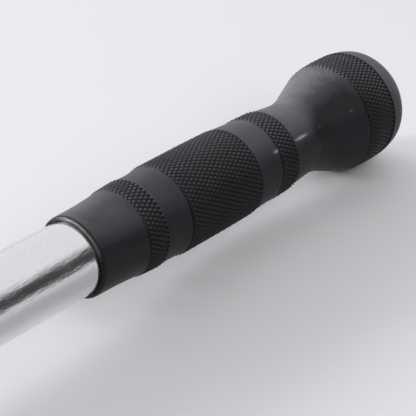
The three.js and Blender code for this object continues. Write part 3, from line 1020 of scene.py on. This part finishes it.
def build_bar(steel, nylon):
    pair("rubber_grip", grip_mesh(), rubber_material(), "bar", "grip_rubber", "grip", sharp_angle=60)
    bore = TUBE_RADIUS - TUBE_WALL
    tube = on_bar(washer("tube", (-TUBE_HALF_LENGTH, TUBE_HALF_LENGTH), bore, TUBE_RADIUS, soft=0.5))
    finish_piece("plated_tube", tube, tube_material(), "bar", "tube_chrome", "bar_tube")
    plug = plastic_material(
        "plug_plastic_black", (0.018, 0.018, 0.019), (0.03, 0.03, 0.032), (0.5, 0.65), 0.00003
    )
    pair("end_plug", on_bar(plug_mesh()), plug, "bar", "plug_plastic", "tube_plug")
    bore = TUBE_RADIUS + FIXED_GAP
    outer = radius_of("right_thrust_washer", SIDE)
    thrust = washer("thrust", reach("right_thrust_washer", SIDE), bore, outer)
    pair("thrust_ring", on_bar(thrust), nylon, "bar", "washer_nylon", "thrust_washer")
    turned_chrome = metal_material(
        "turned_plating", (0.85, 0.86, 0.88), (0.7, 0.71, 0.73), (0.07, 0.2), 1600, (1, 0.12, 0.12), 0.00001
    )
    collar = collar_mesh()
    collar.transform(BAR_FRAME)
    pair("clamp_collar", collar, turned_chrome, "bar", "collar_chrome", "stop_collar", sharp_angle=30)
    for side, opposite in (("front", "back"), ("back", "front")):
        screw = set_screw_mesh(side, SCREW_ANGLES[side])
        pair("collar_set_screw_" + side, screw, steel, "bar", "screw_steel", "collar_screw_" + side,
             "collar_screw_" + opposite)


def build_stirrup(bronze):
    strap = metal_material(
        "strap_plating", (0.84, 0.85, 0.87), (0.66, 0.67, 0.69), (0.08, 0.24), 900, (0.15, 1, 0.15),
        0.000015,
    )
    finish_piece("bent_stirrup", on_hanger(stirrup_mesh()), strap, "stirrup", "stirrup_chrome", "stirrup",
                 sharp_angle=30)
    pair("flanged_bush", on_bar(bush_mesh()), bronze, "stirrup", "bush_bronze", "bush")
    bore = SHANK_RADIUS + FIXED_GAP
    under_eye = washer("under_eye", reach("eye_washer", HANG), bore, radius_of("eye_washer", HANG))
    finish_piece("eye_thrust_ring", on_hanger(under_eye), bronze, "stirrup", "bush_bronze", "eye_washer")


def build_eye(steel, nylon):
    forged = metal_material(
        "forged_plating", (0.83, 0.84, 0.86), (0.64, 0.65, 0.67), (0.1, 0.26), 260, (1, 1, 1), 0.00006
    )
    finish_piece("hanging_eye", on_hanger(eye_mesh()), forged, "eye", "eye_chrome", "swivel_eye",
                 sharp_angle=35)
    bore = SHANK_RADIUS + FIXED_GAP
    under_nut = washer("under_nut", reach("nut_washer", HANG), bore, radius_of("nut_washer", HANG))
    finish_piece("nut_plain_washer", on_hanger(under_nut), steel, "eye", "screw_steel", "nut_washer")
    finish_piece("nylon_lock_nut", on_hanger(lock_nut_mesh()), steel, "eye", "screw_steel", "lock_nut",
                 sharp_angle=25)
    outer = radius_of("lock_nut_ring", HANG)
    locking = washer("locking", reach("lock_nut_ring", HANG), bore, outer, soft=0.4)
    finish_piece("nut_nylon_ring", on_hanger(locking), nylon, "eye", "washer_nylon", "lock_nut_ring")


# ---------------------------------------------------------------- stage

def make_camera():
    data = bpy.data.cameras.new("camera")
    data.lens = CAMERA_LENS
    data.sensor_width = CAMERA_SENSOR
    data.clip_start = 0.01
    camera = linked("camera", data)
    camera.location = MOUTH + CAMERA_OFFSET
    camera.rotation_mode = "QUATERNION"
    camera.rotation_quaternion = CAMERA_FORWARD.to_track_quat("-Z", "Y")
    bpy.context.scene.camera = camera


def make_lights():
    """The low key throws the long shadow, the back light brightens the rubber's upper side, and the front
    light brightens the floor under the grip. The back light is kept out of reflections, where it would draw
    a line along the tube."""
    target = MOUTH + SIDE * 80 * MM
    for name, (azimuth, elevation, distance, size, radiance) in LIGHTS.items():
        turn, rise = math.radians(azimuth), math.radians(elevation)
        flat = math.cos(rise)
        towards = Vector((flat * math.cos(turn), flat * math.sin(turn), math.sin(rise)))
        data = bpy.data.lights.new(name, "AREA")
        data.shape = "DISK"
        data.size = size
        data.energy = radiance * math.pi * math.pi * (size / 2) ** 2
        data.color = TINT
        light = linked(name, data)
        light.location = target + towards * distance
        light.rotation_mode = "QUATERNION"
        light.rotation_quaternion = towards.to_track_quat("Z", "Y")
        light.visible_camera = False
        light.visible_glossy = name != "back"


def make_world():
    """A soft ceiling, brighter away from the camera, a bright wall behind the bar, a strip along the
    horizon and a dim band elsewhere. The camera itself sees a plain backdrop."""
    world = bpy.data.worlds.new("studio")
    bpy.context.scene.world = world
    world.use_nodes = True
    nodes, links = world.node_tree.nodes, world.node_tree.links
    direction = nodes.new("ShaderNodeTexCoord").outputs["Generated"]
    split = nodes.new("ShaderNodeSeparateXYZ")
    links.new(direction, split.inputs["Vector"])
    overhead = ranged(nodes, links, split.outputs["Z"], *CEILING_FADE, 0, 1)
    level = ranged(nodes, links, split.outputs["X"], *NEAR_TO_FAR, CEILING_NEAR, CEILING_FAR)
    ceiling = maths(nodes, links, "MULTIPLY", overhead, level)
    azimuth = math.radians(WALL_AZIMUTH)
    towards = nodes.new("ShaderNodeVectorMath")
    towards.operation = "DOT_PRODUCT"
    links.new(direction, towards.inputs[0])
    towards.inputs[1].default_value = (math.cos(azimuth), math.sin(azimuth), 0)
    wall = ranged(nodes, links, towards.outputs["Value"], *WALL_FADE, DIM, WALL)
    level = maths(nodes, links, "MAXIMUM", ceiling, wall)
    horizon = ranged(nodes, links, split.outputs["Z"], *HORIZON_FADE, 0, HORIZON)
    level = maths(nodes, links, "MAXIMUM", level, horizon)
    colour = mixed(nodes, links, level, (0.0, 0.0, 0.0), TINT)
    backdrop = nodes.new("ShaderNodeLightPath").outputs["Is Camera Ray"]
    colour = mixed(nodes, links, backdrop, colour, BACKDROP)
    links.new(colour, nodes["Background"].inputs["Color"])


def make_floor():
    bm = bmesh.new()
    bmesh.ops.create_grid(bm, x_segments=1, y_segments=1, size=30)
    floor = linked("floor", mesh_from("floor", bm))
    floor.data.materials.append(floor_material())


def main():
    bpy.context.scene.view_settings.view_transform = "Standard"
    make_camera()
    make_lights()
    make_world()
    make_floor()
    steel = metal_material(
        "zinc_steel", (0.5, 0.51, 0.53), (0.36, 0.37, 0.39), (0.25, 0.45), 1200, (1, 1, 0.3), 0.00002
    )
    nylon = plastic_material("natural_nylon", (0.8, 0.78, 0.72), (0.7, 0.66, 0.56), (0.35, 0.5), 0.00002)
    bronze = metal_material(
        "sintered_bronze", (0.6, 0.4, 0.2), (0.36, 0.22, 0.1), (0.28, 0.5), 2400, (1, 1, 1), 0.00003
    )
    build_bar(steel, nylon)
    build_stirrup(bronze)
    build_eye(steel, nylon)


main()
